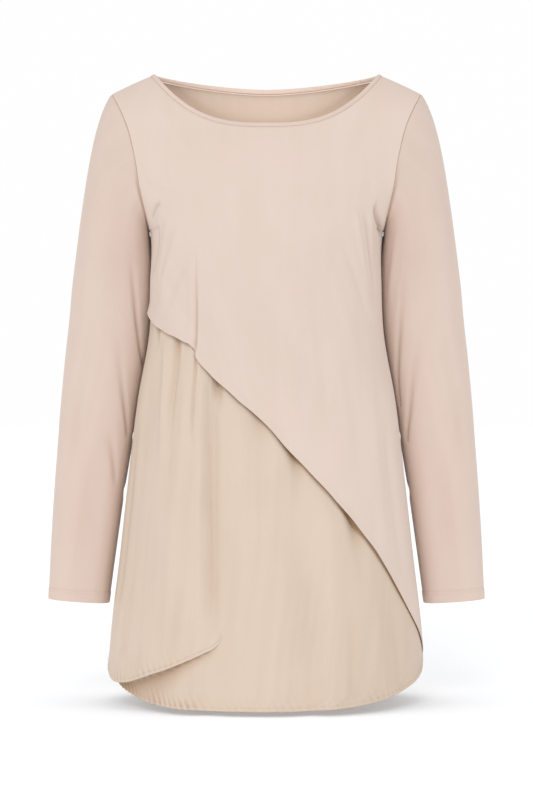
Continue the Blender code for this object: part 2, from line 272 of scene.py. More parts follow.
# The big folds: angle of the middle, top, bottom, half width in degrees, height
FRONT_FOLDS = (
    (-32, -0.36, -0.80, 8, 0.0050),
    (-21, -0.40, -0.80, 6, -0.0040),
    (-58, -0.30, -0.80, 10, -0.0040),
    (2, -0.45, -0.80, 9, 0.0025),
    (16, -0.52, -0.80, 8, -0.0035),
    (27, -0.50, -0.80, 9, 0.0040),
    (60, -0.42, -0.80, 11, -0.0035),
    (-70, -0.13, -0.28, 9, -0.0030),
    (70, -0.13, -0.28, 9, -0.0030),
)
BACK_FOLDS = (
    (-52, -0.28, -0.80, 9, -0.0045),
    (-33, -0.36, -0.80, 9, 0.0045),
    (-6, -0.24, -0.70, 8, -0.0035),
    (12, -0.40, -0.80, 9, 0.0035),
    (36, -0.32, -0.80, 10, -0.0040),
    (58, -0.40, -0.80, 9, 0.0040),
)
FOLD_FADE_IN = 0.08       # height over which a fold grows below its top
FOLD_FADE_OUT = 0.02      # and dies away below its bottom
FOLD_SIDE = 12            # degrees in from the side seam over which the folds grow


def big_folds(side, angle, height):
    """Sums rise * exp(-(across / half width)^2) over the folds, each faded in below its top."""
    total = np.zeros_like(height)
    for middle, top, bottom, half_width, rise in FRONT_FOLDS if side < 0 else BACK_FOLDS:
        across = np.exp(-((angle - middle) / half_width) ** 2)
        fade_out = ease((height - bottom) / FOLD_FADE_OUT + 1)
        total += rise * across * ease((top - height) / FOLD_FADE_IN) * fade_out
    return total * ease((90 - np.abs(angle)) / FOLD_SIDE)


def creases(rows, across, height):
    """Sums small creases, each along a smooth path of (across, height) points in metres.

    A row is path, half width, rise, step, fade at the start, fade at the end. Off the path
    the cloth moves by rise * exp(-d^2) + step * tanh(1.5 d) * exp(-(d / 3)^2), where d is the
    distance over the half width, and is above zero on the path's left going down.
    """
    total = np.zeros_like(height)
    for path, half_width, rise, step, fade_in, fade_out in rows:
        path = np.array(path, float)
        knots = np.column_stack([np.linspace(0, 1, len(path)), path])
        fine = np.linspace(0, 1, 21)
        line = np.stack([smooth_table(knots, 1, fine), smooth_table(knots, 2, fine)], -1)
        reach = half_width * (7 if step else 3)
        low = line.min(0) - reach
        high = line.max(0) + reach
        near = (across > low[0]) & (across < high[0]) & (height > low[1]) & (height < high[1])
        if not near.any():
            continue
        at = np.stack([across[near], height[near]], -1)
        best = np.full(len(at), np.inf)
        off = np.zeros(len(at))
        along = np.zeros(len(at))
        for k in range(len(line) - 1):
            run = line[k + 1] - line[k]
            share = np.clip((at - line[k]) @ run / (run @ run), 0, 1)
            away = at - line[k] - share[:, None] * run
            gap = np.hypot(away[:, 0], away[:, 1])
            nearer = gap < best
            best = np.where(nearer, gap, best)
            turned = np.sign(run[0] * away[:, 1] - run[1] * away[:, 0])
            off = np.where(nearer, gap * turned, off)
            along = np.where(nearer, (k + share) / (len(line) - 1), along)
        d = off / half_width
        fade = ease(along / max(fade_in, 0.001)) * ease((1 - along) / max(fade_out, 0.001))
        total[near] += fade * (rise * np.exp(-d * d) + step * np.tanh(1.5 * d) * np.exp(-d * d / 9))
    return total


def panel_creases(rows, angle, height):
    """Creases of a panel, whose paths are given as (angle, height), gone at the side seams."""
    rows = [([(a * PER_DEGREE, z) for a, z in row[0]], *row[1:]) for row in rows]
    return creases(rows, angle * PER_DEGREE, height) * ease((90 - np.abs(angle)) / 4)


# In the satin: path of (angle, height), half width, rise, step, fades at its two ends
SATIN_CREASES = (
    (((-66, -0.300), (-66, -0.325), (-64, -0.350)), 0.0050, -0.0040, 0, 0.0, 0.7),
    (((-58, -0.320), (-52, -0.406), (-48, -0.527)), 0.0070, 0.0030, 0, 0.1, 0.5),
    (((-48, -0.325), (-46.5, -0.370), (-45.5, -0.430), (-44, -0.502)), 0.0065, -0.0048, 0, 0.0, 0.6),
    (((-40.5, -0.339), (-38.5, -0.406), (-37, -0.490)), 0.0060, 0.0018, 0, 0.1, 0.5),
    (((-34.5, -0.350), (-33, -0.406), (-32, -0.472)), 0.0024, -0.0024, 0, 0.0, 0.4),
    (((-30, -0.367), (-27.5, -0.466), (-25.5, -0.597), (-24.5, -0.693)), 0.0070, 0.0036, 0, 0.1, 0.2),
    (((-23, -0.370), (-22, -0.396), (-22.5, -0.430)), 0.0060, -0.0048, 0, 0.0, 0.6),
    (((-23.5, -0.400), (-21.5, -0.549), (-19.5, -0.692)), 0.0050, -0.0026, 0, 0.1, 0.2),
    (((-41, -0.420), (-40, -0.560), (-39, -0.700)), 0.0100, 0.0018, 0, 0.4, 0.2),
    (((-76, -0.400), (-74, -0.540), (-75, -0.700)), 0.0080, -0.0020, 0, 0.4, 0.2),
    (((-66, -0.560), (-65, -0.650), (-66, -0.720)), 0.0090, -0.0018, 0, 0.5, 0.1),
    (((8, -0.430), (12, -0.480), (14, -0.570)), 0.0075, -0.0050, 0, 0.0, 0.7),
    (((34, -0.520), (37, -0.565), (39, -0.650)), 0.0080, -0.0044, 0, 0.0, 0.7),
    (((-4, -0.400), (-2, -0.500), (-3, -0.640)), 0.0090, -0.0020, 0, 0.1, 0.6),
    (((25, -0.500), (24, -0.640), (22, -0.777)), 0.0110, 0.0030, 0, 0.3, 0.0),
    (((18, -0.560), (17, -0.690), (17, -0.777)), 0.0080, -0.0024, 0, 0.5, 0.0),
    (((6, -0.560), (7, -0.680), (7, -0.777)), 0.0090, 0.0015, 0, 0.6, 0.0),
    (((-9, -0.500), (-10, -0.640), (-9, -0.777)), 0.0100, 0.0016, 0, 0.5, 0.0),
    (((44, -0.600), (45, -0.690), (47, -0.765)), 0.0100, 0.0020, 0, 0.5, 0.1),
    (((54, -0.640), (56, -0.700), (58, -0.755)), 0.0080, -0.0018, 0, 0.5, 0.1),
    (((33, -0.620), (32, -0.700), (32, -0.770)), 0.0070, -0.0018, 0, 0.5, 0.1),
)

# In the jersey front, which the satin follows where the jersey covers it. The first five are
# its sharpest folds, which also get painted shade.
SHARP_FOLDS = 5
JERSEY_CREASES = (
    (((-36.6, -0.205), (-35.2, -0.280), (-34.2, -0.370)), 0.0019, -0.0026, 0.0008, 0.7, 0.0),
    (((-58, -0.163), (-65, -0.170), (-76, -0.184)), 0.0024, -0.0028, 0, 0.3, 0.1),
    (((-66, -0.187), (-70, -0.209), (-75, -0.235), (-80, -0.262)), 0.0042, -0.0034, 0, 0.3, 0.4),
    (((60, -0.164), (68, -0.181), (80, -0.197)), 0.0052, -0.0062, 0, 0.4, 0.0),
    (((51, -0.170), (58.5, -0.201), (65, -0.237), (72, -0.282)), 0.0042, -0.0026, 0, 0.3, 0.4),
    (((-40, -0.215), (-38.6, -0.280), (-37.4, -0.360)), 0.0045, 0.0014, 0, 0.6, 0.0),
    (((7, -0.270), (5, -0.350), (5, -0.440)), 0.0080, -0.0014, 0, 0.5, 0.1),
    (((13, -0.300), (12, -0.380), (13, -0.470)), 0.0080, 0.0010, 0, 0.5, 0.2),
    (((21, -0.240), (25, -0.330), (27, -0.450)), 0.0075, -0.0014, 0, 0.5, 0.2),
    (((-14, -0.260), (-13, -0.330), (-14, -0.410)), 0.0100, -0.0012, 0, 0.5, 0.2),
    (((-26, -0.240), (-25, -0.310), (-26, -0.380)), 0.0090, 0.0012, 0, 0.5, 0.3),
    (((38, -0.320), (41, -0.430), (42, -0.560)), 0.0100, -0.0018, 0, 0.4, 0.2),
    (((50, -0.350), (53, -0.470), (54, -0.600)), 0.0100, 0.0018, 0, 0.4, 0.2),
    (((60, -0.370), (64, -0.500), (66, -0.640)), 0.0090, -0.0018, 0, 0.4, 0.2),
    (((-76, -0.140), (-62, -0.144), (-51, -0.151)), 0.0050, -0.0028, 0, 0.3, 0.5),
    (((-55, -0.170), (-62, -0.180), (-72, -0.196)), 0.0030, 0.0016, 0, 0.3, 0.3),
    (((-54, -0.177), (-58.5, -0.204), (-64, -0.237), (-69, -0.273)), 0.0036, 0.0026, 0, 0.4, 0.3),
    (((-44, -0.184), (-54, -0.230), (-66, -0.290)), 0.0085, 0.0024, 0, 0.4, 0.3),
    (((-36, -0.200), (-47, -0.250), (-61, -0.312)), 0.0090, -0.0020, 0, 0.5, 0.3),
    (((51, -0.167), (59.5, -0.163), (69, -0.166)), 0.0030, 0.0014, 0, 0.4, 0.4),
    (((57, -0.172), (64, -0.205), (71, -0.245)), 0.0036, 0.0018, 0, 0.3, 0.4),
    (((44, -0.163), (52, -0.211), (59, -0.265)), 0.0050, 0.0026, 0, 0.4, 0.4),
    (((34, -0.190), (48, -0.250), (64, -0.330)), 0.0080, -0.0024, 0, 0.5, 0.4),
    (((24, -0.200), (36, -0.270), (50, -0.360)), 0.0090, 0.0014, 0, 0.5, 0.4),
    (((62, -0.140), (50, -0.150), (38, -0.165)), 0.0090, -0.0016, 0, 0.3, 0.6),
)

# angle, height of the jersey's slanting edge
OVERLAY_HEM = (
    (-90, -0.2872),
    (-80, -0.2992),
    (-70, -0.3102),
    (-60, -0.3192),
    (-50, -0.3272),
    (-41, -0.3352),
    (-36.4, -0.3402),
    (-34.8, -0.3450),
    (-33.9, -0.3515),
    (-32.4, -0.3570),
    (-26, -0.3730),
    (-12, -0.4053),
    (0, -0.4350),
    (7.5, -0.4603),
    (15, -0.4832),
    (25, -0.5152),
    (33, -0.5422),
    (42, -0.5712),
    (51, -0.6022),
    (60, -0.6342),
    (69, -0.6672),
    (80, -0.6992),
    (90, -0.7212),
)

# angle, height of the satin flap's rolled hem
OVERLAP_HEM = (
    (-90, -0.7270),
    (-80, -0.7410),
    (-69, -0.7505),
    (-61, -0.7495),
    (-51, -0.7425),
    (-43, -0.7350),
    (-36, -0.7280),
    (-29, -0.7185),
    (-23, -0.7090),
    (-19, -0.7020),
    (-16, -0.6920),
    (-10, -0.6800),
)


def overlay_hem(angle):
    """The jersey's slanting edge, which waves by half a millimetre as it goes."""
    wave = np.sin(angle * 0.43) * np.sin(angle * 0.17 + 1)
    return smooth_table(OVERLAY_HEM, 1, angle) + 0.0005 * wave


def satin_relief(angle, height):
    """How far the satin stands off the form: it follows the jersey down to the slanting edge."""
    below = overlay_hem(angle) - height
    jersey = panel_creases(JERSEY_CREASES, angle, height) * ease(1 - below / 0.012)
    satin = panel_creases(SATIN_CREASES, angle, height)
    satin = np.where(satin > 0, satin * ease((below - 0.004) / 0.03), satin * ease(below / 0.02 + 1.5))
    under_edge = -0.0016 * np.exp(-((below - 0.001) / 0.004) ** 2) * ease((72 - angle) / 30)
    under_edge = under_edge * ease((90 + angle) / 8)
    slack = 0.0014 * ease((-below - 0.004) / 0.02) * ease((-0.085 - height) / 0.035)
    slack = slack * ease((90 - np.abs(angle)) / 8)
    return big_folds(-1, angle, height) + jersey + 1.25 * satin + under_edge - slack


def satin_shade(angle, height):
    """Painted shade on the satin: in the creases, as a dark line close under the jersey's edge, and more
    towards the wearer's left.
    """
    below = overlay_hem(angle) - height
    satin = panel_creases(SATIN_CREASES, angle, height)
    # painted shade in the creases, stronger close under the jersey's edge
    deep = np.clip(-satin / 0.0060, 0, 1) * ease(below / 0.02 + 1)
    near_edge = np.exp(-(np.maximum(below, 0) / 0.016) ** 1.5)
    # a painted shadow line just under the jersey's edge, thinner on the wearer's left
    thin = 0.0020 - 0.0010 * ease((angle - 35) / 20)
    line = np.exp(-(np.maximum(below - 0.0006, 0) / thin) ** 2) * ease(below / 0.010 + 1.6)
    # painted shade over the satin towards the wearer's left
    turned = 0.11 * ease((angle - 15) / 40)
    return deep * (0.16 + 0.75 * near_edge) + 0.85 * line + turned


def overlap_hem(angle):
    """Height of the satin flap's rolled hem, carried smoothly through its table."""
    return smooth_table(OVERLAP_HEM, 1, angle)


def bunched(count, *dense):
    """Shares from 0 to 1, drawn together round each (place, reach, factor)."""
    fine = np.linspace(0, 1, 2001)
    weight = np.ones_like(fine)
    for place, reach, factor in dense:
        weight += factor * np.exp(-((fine - place) / reach) ** 2)
    total = np.concatenate([[0], np.cumsum((weight[1:] + weight[:-1]) / 2)])
    return np.interp(np.linspace(0, 1, count + 1), total / total[-1], fine)


def top_edge(side, angle):
    """Height of each column's top, on the shoulder seam or just under the neck binding."""
    inset = BINDING_WIDTH + SEAM_GAP
    height = np.zeros_like(angle)
    for _ in range(SETTLE_STEPS):
        x = smooth_table(BODY_SECTIONS, 1, height) * np.sin(np.radians(angle))
        edge = np.where(np.abs(x) < NECK_HALF + inset, neck_line(side, x, inset), shoulder_line(x))
        height = (height + edge) / 2
    return height


HEM_RISE = 0.047          # from the middle of the hem to the side seams
HEM_CURVE_RIGHT = 3.5     # power of the angle in that rise, on the wearer's right
HEM_CURVE_LEFT = 2.4


def shirt_tail(angle):
    """Height of the curved hem: low in the middle, and rising later on the wearer's right."""
    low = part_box("front_underlay")[0][2]
    return low + HEM_RISE * (np.abs(angle) / 90) ** np.where(angle < 0, HEM_CURVE_RIGHT, HEM_CURVE_LEFT)


# columns are drawn together at the side seams and the neck's corners
CORNERS = ((0.0, 0.02, 2.0), (1.0, 0.02, 2.0), (0.230, 0.008, 2.0), (0.770, 0.008, 2.0))


def panel_columns(count, *dense):
    """Angles of a panel's columns, from one side seam to the other."""
    return -90 + 180 * bunched(count, *CORNERS, *dense)


def panel_grid(side, hem, angle, upper_rows, lower_shares):
    """Angles and heights of a whole panel, from its top edge by way of the underarm."""
    top = top_edge(side, angle)
    share = (1 - np.cos(np.pi * np.arange(upper_rows + 1) / upper_rows)) / 2
    upper = top + (UNDERARM - top) * share[:, None]
    lower_shares = lower_shares.reshape(len(lower_shares), -1)
    lower = UNDERARM + (hem(angle) - UNDERARM) * lower_shares[1:]
    height = np.concatenate([upper, lower])
    return np.broadcast_to(angle, height.shape), height, np.broadcast_to(top, height.shape)


def seam_ditch(angle, height, top):
    """The cloth rolls down into its seams: 0.8 mm at the edge, gone 3 mm away."""
    from_side = (90 - np.abs(angle)) * PER_DEGREE
    near = np.exp(-(from_side / 0.0015) ** 2) + np.exp(-((top - height) / 0.0015) ** 2)
    return -0.0008 * np.minimum(near, 1)


ALLOWANCE_IN = (0.0035, 0.0012)    # how far in the two rows of seam allowance lie


def turned_in(points, inward, edges):
    """Adds two rows of seam allowance along the edges named, folded to the inside."""
    for edge in edges:
        axis = 0 if edge == "top" else 1
        last = -1 if edge == "right" else 0
        rim = np.take(points, [last], axis)
        into = np.take(inward, [last], axis)
        extra = [rim + into * deep for deep in ALLOWANCE_IN]
        if last:
            points = np.concatenate([points, *extra[::-1]], axis)
            inward = np.concatenate([inward, into, into], axis)
        else:
            points = np.concatenate([*extra, points], axis)
            inward = np.concatenate([into, into, inward], axis)
    return points


def cloth(name, points, outside, closed=False, thick=CLOTH_THICK, shade=None):
    """A thin wall on a grid of points, with a UV map of its cut in metres.

    U is the distance along each row from its middle, and V is the distance down the columns.
    The shade, from 0 to 1, is painted shade: how far the colour there is darkened for the shadow that falls
    on it.
    """
    rows, across = points.shape[:2]
    number = np.arange(rows * across).reshape(rows, across)
    ring = points
    if closed:
        number = np.concatenate([number, number[:, :1]], 1)
        ring = np.concatenate([points, points[:, :1]], 1)
    u = np.linalg.norm(np.diff(ring, axis=1), axis=2)
    u = np.concatenate([np.zeros((rows, 1)), np.cumsum(u, 1)], 1)
    u = u - u[:, -1:] / 2
    v = np.linalg.norm(np.diff(ring, axis=0), axis=2)
    v = -np.concatenate([np.zeros((1, ring.shape[1])), np.cumsum(v, 0)], 0)
    corner = (slice(None, -1), slice(1, None))
    order = ((0, 0), (1, 0), (1, 1), (0, 1)) if outside else ((0, 1), (1, 1), (1, 0), (0, 0))
    faces = np.stack([number[corner[i], corner[j]] for i, j in order], -1).reshape(-1)
    cut = np.stack([np.stack([u, v], -1)[corner[i], corner[j]] for i, j in order], -2)
    mesh = bpy.data.meshes.new(name)
    mesh.vertices.add(rows * across)
    mesh.vertices.foreach_set("co", points.reshape(-1))
    mesh.loops.add(len(faces))
    mesh.loops.foreach_set("vertex_index", faces)
    mesh.polygons.add(len(faces) // 4)
    mesh.polygons.foreach_set("loop_start", np.arange(0, len(faces), 4))
    mesh.update(calc_edges=True)
    layer = mesh.uv_layers.new(name="cut")
    layer.data.foreach_set("uv", cut.reshape(-1))
    # the shade attribute carries painted shade, which the material mixes into the base colour
    if shade is not None:
        dark = mesh.attributes.new("shade", "FLOAT", "POINT")
        dark.data.foreach_set("value", np.clip(shade, 0, 1).reshape(-1))
    mesh.shade_smooth()
    piece = bpy.data.objects.new(name, mesh)
    bpy.context.scene.collection.objects.link(piece)
    if thick:
        wall = piece.modifiers.new("cloth_wall", "SOLIDIFY")
        wall.thickness = thick
        wall.offset = 0
    return piece


def noise_value(nodes, links, vector, scale, stretch, detail=2.0):
    """A noise texture on the cloth's own UV map, stretched along it, as its Fac socket."""
    place = nodes.new("ShaderNodeMapping")
    place.inputs["Scale"].default_value = stretch
    links.new(vector, place.inputs["Vector"])
    noise = nodes.new("ShaderNodeTexNoise")
    noise.inputs["Scale"].default_value = scale
    noise.inputs["Detail"].default_value = detail
    links.new(place.outputs["Vector"], noise.inputs["Vector"])
    return noise.outputs["Fac"]


def sum_of(nodes, links, kind, first, second):
    """A Math node of the kind given; each input is a socket or a number."""
    node = nodes.new("ShaderNodeMath")
    node.operation = kind
    for socket, value in zip(node.inputs, (first, second)):
        if isinstance(value, (int, float)):
            socket.default_value = value
        else:
            links.new(value, socket)
    return node.outputs["Value"]


def new_group(name, inputs, outputs):
    """An empty shader node group with named sockets: (name, type, start value)."""
    group = bpy.data.node_groups.new(name, "ShaderNodeTree")
    for label, kind, value in inputs:
        socket = group.interface.new_socket(label, in_out="INPUT", socket_type=kind)
        socket.default_value = value
    for label, kind in outputs:
        group.interface.new_socket(label, in_out="OUTPUT", socket_type=kind)
    return group, group.nodes.new("NodeGroupInput"), group.nodes.new("NodeGroupOutput")


def dyed_cloth_group():
    """Uneven dye: colour goes between a light and a deep tone in soft patches and streaks."""
    group, given, made = new_group(
        "dyed_cloth",
        (("Light", "NodeSocketColor", (1, 1, 1, 1)), ("Deep", "NodeSocketColor", (0.9, 0.9, 0.9, 1)),
         ("Warm", "NodeSocketColor", (1, 0.9, 0.8, 1)), ("Streaks", "NodeSocketFloat", 0.5)),
        (("Color", "NodeSocketColor"),))
    nodes, links = group.nodes, group.links
    uv = nodes.new("ShaderNodeUVMap")
    uv.uv_map = "cut"
    patches = noise_value(nodes, links, uv.outputs["UV"], 14.0, (1.0, 0.6, 1.0), 3.0)
    streaks = noise_value(nodes, links, uv.outputs["UV"], 60.0, (1.0, 0.05, 1.0), 2.0)
    fibre = noise_value(nodes, links, uv.outputs["UV"], 900.0, (1.0, 0.5, 1.0), 1.0)
    warm = noise_value(nodes, links, uv.outputs["UV"], 9.0, (0.8, 1.0, 1.0), 2.0)
    streaked = sum_of(nodes, links, "MULTIPLY", streaks, given.outputs["Streaks"])
    mottle = sum_of(nodes, links, "ADD", patches, streaked)
    mottle = sum_of(nodes, links, "ADD", mottle, sum_of(nodes, links, "MULTIPLY", fibre, 0.35))
    spread = nodes.new("ShaderNodeMapRange")
    spread.inputs["From Min"].default_value = 0.75
    spread.inputs["From Max"].default_value = 1.20
    links.new(mottle, spread.inputs["Value"])
    tone = nodes.new("ShaderNodeMix")
    tone.data_type = "RGBA"
    links.new(spread.outputs["Result"], tone.inputs["Factor"])
    links.new(given.outputs["Deep"], tone.inputs["A"])
    links.new(given.outputs["Light"], tone.inputs["B"])
    blush = nodes.new("ShaderNodeMapRange")
    blush.inputs["From Min"].default_value = 0.45
    blush.inputs["From Max"].default_value = 0.70
    blush.inputs["To Max"].default_value = 0.6
    links.new(warm, blush.inputs["Value"])
    dyed = nodes.new("ShaderNodeMix")
    dyed.data_type = "RGBA"
    links.new(blush.outputs["Result"], dyed.inputs["Factor"])
    links.new(tone.outputs["Result"], dyed.inputs["A"])
    links.new(given.outputs["Warm"], dyed.inputs["B"])
    links.new(dyed.outputs["Result"], made.inputs["Color"])
    return group


def threads_group():
    """Threads: a sine ribbing across and down at two pitches, plus a fine grain."""
    group, given, made = new_group(
        "threads",
        (("Across", "NodeSocketFloat", 1500.0), ("Down", "NodeSocketFloat", 1100.0),
         ("Grain", "NodeSocketFloat", 0.5)),
        (("Height", "NodeSocketFloat"),))
    nodes, links = group.nodes, group.links
    uv = nodes.new("ShaderNodeUVMap")
    uv.uv_map = "cut"
    parts = nodes.new("ShaderNodeSeparateXYZ")
    links.new(uv.outputs["UV"], parts.inputs["Vector"])
    turns = []
    for axis, rate in (("X", "Across"), ("Y", "Down")):
        phase = sum_of(nodes, links, "MULTIPLY", parts.outputs[axis], given.outputs[rate])
        turns.append(sum_of(nodes, links, "SINE", phase, 0.0))
    ribs = sum_of(nodes, links, "MULTIPLY", turns[0], turns[1])
    ribs = sum_of(nodes, links, "MULTIPLY", ribs, 0.25)
    grain = noise_value(nodes, links, uv.outputs["UV"], 500.0, (1.0, 1.0, 1.0), 3.0)
    grain = sum_of(nodes, links, "MULTIPLY", grain, given.outputs["Grain"])
    links.new(sum_of(nodes, links, "ADD", ribs, grain), made.inputs["Height"])
    return group


dyed_cloth = dyed_cloth_group()
threads = threads_group()


def cloth_material(name, light, deep, warm, shaded, streaks, rough, sheen, gloss, pitch, grain, bump):
    """Dyed cloth with its threads as a bump. Painted shade: the shade attribute turns its colour to a
    warmer, deeper tone.
    """
    made = bpy.data.materials.new(name)
    made.use_nodes = True
    nodes, links = made.node_tree.nodes, made.node_tree.links
    shader = nodes["Principled BSDF"]
    shader.inputs["Roughness"].default_value = rough
    shader.inputs["Specular IOR Level"].default_value = gloss
    shader.inputs["Sheen Weight"].default_value = sheen
    shader.inputs["Sheen Roughness"].default_value = 0.45
    dye = nodes.new("ShaderNodeGroup")
    dye.node_tree = dyed_cloth
    dye.inputs["Light"].default_value = (*light, 1)
    dye.inputs["Deep"].default_value = (*deep, 1)
    dye.inputs["Warm"].default_value = (*warm, 1)
    dye.inputs["Streaks"].default_value = streaks
    # painted shade: the shade attribute mixes the dyed colour towards the shaded tone
    dark = nodes.new("ShaderNodeAttribute")
    dark.attribute_name = "shade"
    tone = nodes.new("ShaderNodeMix")
    tone.data_type = "RGBA"
    tone.inputs["B"].default_value = (*shaded, 1)
    links.new(dark.outputs["Fac"], tone.inputs["Factor"])
    links.new(dye.outputs["Color"], tone.inputs["A"])
    links.new(tone.outputs["Result"], shader.inputs["Base Color"])
    weave = nodes.new("ShaderNodeGroup")
    weave.node_tree = threads
    weave.inputs["Across"].default_value = 2 * np.pi / pitch[0]
    weave.inputs["Down"].default_value = 2 * np.pi / pitch[1]
    weave.inputs["Grain"].default_value = grain
    relief = nodes.new("ShaderNodeBump")
    relief.inputs["Strength"].default_value = bump
    relief.inputs["Distance"].default_value = 0.0001
    links.new(weave.outputs["Height"], relief.inputs["Height"])
    links.new(relief.outputs["Normal"], shader.inputs["Normal"])
    return made


satin = cloth_material(
    "beige_satin", light=(0.690, 0.562, 0.458), deep=(0.640, 0.512, 0.412),
    warm=(0.680, 0.540, 0.428), shaded=(0.44, 0.27, 0.145), streaks=0.9, rough=0.50, sheen=0.08, gloss=0.35,
    pitch=(0.0005, 0.0007), grain=0.6, bump=0.25)


def hem_puckers(across, above, pitch, rise):
    """Small slanting gathers over a stitched hem, dying away about 14 mm above it."""
    wander = 2.6 * np.sin(across * 29) + 1.6 * np.sin(across * 83 + 1)
    strength = 0.55 + 0.45 * np.sin(across * 37 + 0.6) * np.sin(across * 101)
    strength = strength * (0.45 + 0.55 * ease(above / 0.004))
    wave = np.sin(2 * np.pi * (across + 0.35 * above) / pitch + wander)
    return rise * strength * wave * np.exp(-(above / 0.013) ** 2)


def rolled_hem(above, width, rise):
    """A narrow double hem: proud below its stitch line, with a groove along the line."""
    band = rise * ease((width - above) / 0.0010 + 0.5)
    return band - 1.2 * rise * np.exp(-((above - width) / 0.0009) ** 2)


def line_above(points, above, distance):
    """The line on a grid of points that lies a distance above its last row."""
    row = np.argmax(above < distance, 0)
    column = np.arange(points.shape[1])
    upper = above[row - 1, column]
    share = (upper - distance) / (upper - above[row, column])
    start = points[row - 1, column]
    return start + (points[row, column] - start) * share[:, None]


def stitches(name, path, out, length, space, paint):
    """A row of stitches, each a six-sided bead with pointed ends, half sunk in the cloth.

    Its radius is 0.2 mm * sqrt(1 - s^2), as s goes from -1 to 1 along it.
    """
    far = np.concatenate([[0], np.cumsum(np.linalg.norm(np.diff(path, axis=0), axis=1))])
    count = int(far[-1] / (length + space))
    middle = (np.arange(count) + 0.5) * far[-1] / count

    def at(where, values):
        """Values at places along the row, straight between the path's points."""
        return np.stack([np.interp(where, far, values[:, k]) for k in range(3)], -1)

    start, end = at(middle - length / 2, path), at(middle + length / 2, path)
    up = at(middle, out)
    up /= np.linalg.norm(up, axis=1, keepdims=True)
    across = np.cross(end - start, up)
    across /= np.linalg.norm(across, axis=1, keepdims=True)
    turn = 2 * np.pi * np.arange(6) / 6
    ring = across[:, None] * np.cos(turn)[:, None] + up[:, None] * np.sin(turn)[:, None]
    rings = []
    for s in (-0.7, 0.0, 0.7):
        centre = (start + end) / 2 + (end - start) / 2 * s
        rings.append(centre[:, None] + ring * 0.0002 * np.sqrt(1 - s * s))
    points = np.concatenate([start[:, None], *rings, end[:, None]], 1)
    near, far_side = np.arange(6), (np.arange(6) + 1) % 6
    faces = [(0, 1 + b, 1 + a) for a, b in zip(near, far_side)]
    faces += [(1 + r + a, 1 + r + b, 7 + r + b, 7 + r + a) for r in (0, 6) for a, b in zip(near, far_side)]
    faces += [(19, 13 + a, 13 + b) for a, b in zip(near, far_side)]
    mesh = bpy.data.meshes.new(name)
    every = [[int(v) + 20 * n for v in face] for n in range(count) for face in faces]
    mesh.from_pydata(points.reshape(-1, 3), [], every)
    mesh.shade_smooth()
    mesh.materials.append(paint)
    row = bpy.data.objects.new(name, mesh)
    bpy.context.scene.collection.objects.link(row)
    return row


def thread_material(name, colour):
    """Plain thread of one colour."""
    made = bpy.data.materials.new(name)
    made.use_nodes = True
    shader = made.node_tree.nodes["Principled BSDF"]
    shader.inputs["Base Color"].default_value = (*colour, 1)
    shader.inputs["Roughness"].default_value = 0.6
    return made


satin_thread = thread_material("satin_thread", (0.60, 0.47, 0.37))
SATIN_STITCH = (0.0020, 0.0008)    # length of a stitch, and of the space after it
JERSEY_STITCH = (0.0022, 0.0008)
SATIN_HEM_WIDTH = 0.0042
HEM_BUNCH = (1.0, 0.022, 5.0)
columns = panel_columns(290, (0.17, 0.13, 2.0))
slant = (UNDERARM - overlay_hem(columns)) / (UNDERARM - shirt_tail(columns))
rows = np.stack([bunched(122, (place, 0.018, 5.0), HEM_BUNCH) for place in slant], 1)
angle, height, top = panel_grid(-1, shirt_tail, columns, 24, rows)
above = height - shirt_tail(angle)
gathered = 0.30 + 0.70 * ease((-angle - 10) / 30)
puckers = hem_puckers(angle * PER_DEGREE, above, 0.0072, 0.0024) * gathered
covered = ease((-angle - 22) / 26)
from_flap = overlap_hem(np.minimum(angle, -10)) - height
hollow = covered * ease((90 + angle) / 8) * ease(from_flap / 0.03 + 0.6)
lift = satin_relief(angle, height) + seam_ditch(angle, height, top) - 0.0060 * hollow
lift += puckers + rolled_hem(above, SATIN_HEM_WIDTH, 0.0005)
# painted shade: the satin's own, and in the troughs of the puckers
shade = satin_shade(angle, height) + np.clip(-puckers / 0.0026, 0, 1) * 0.70
# a painted shadow on the underlay below the satin flap's hem
flap_shadow = np.exp(-(np.maximum(from_flap, 0) / (0.005 + 0.018 * covered)) ** 1.4)
shade += 0.72 * flap_shadow * ease((-angle - 16) / 8) * ease(from_flap / 0.004 + 1)
shade = np.pad(shade, ((2, 0), (2, 2)), mode="edge")
points = form(-1, angle, height, lift)
hem_stitch = line_above(points, above, SATIN_HEM_WIDTH)
hem_out = outward(-1, angle[-1], height[-1])
points = turned_in(points, -outward(-1, angle, height), ("top", "left", "right"))
underlay = cloth("front_underlay_satin", points, True, shade=shade)
underlay.data.materials.append(satin)
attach(underlay, "root")
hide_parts("front_underlay")
hem_row = stitches(
    "underlay_hem_stitches", hem_stitch + hem_out * 0.0003, hem_out, *SATIN_STITCH, satin_thread)
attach(hem_row, "root")


# Front overlap
# A second piece of the same satin over the underlay, from the wearer's right side seam to a
# free edge that melts into a soft fold. Its rolled hem climbs from the side to a point.
LAYER_STEP = 0.0021
SEWN_STEP = 0.0012


def layer_step(angle, height):
    """How far apart two layers lie: sewn together at the top and sides, loose below."""
    parted = ease((UNDERARM - height) / 0.065)
    free = parted * ease((90 - np.abs(angle)) / 10)
    return SEWN_STEP + (LAYER_STEP - SEWN_STEP) * free


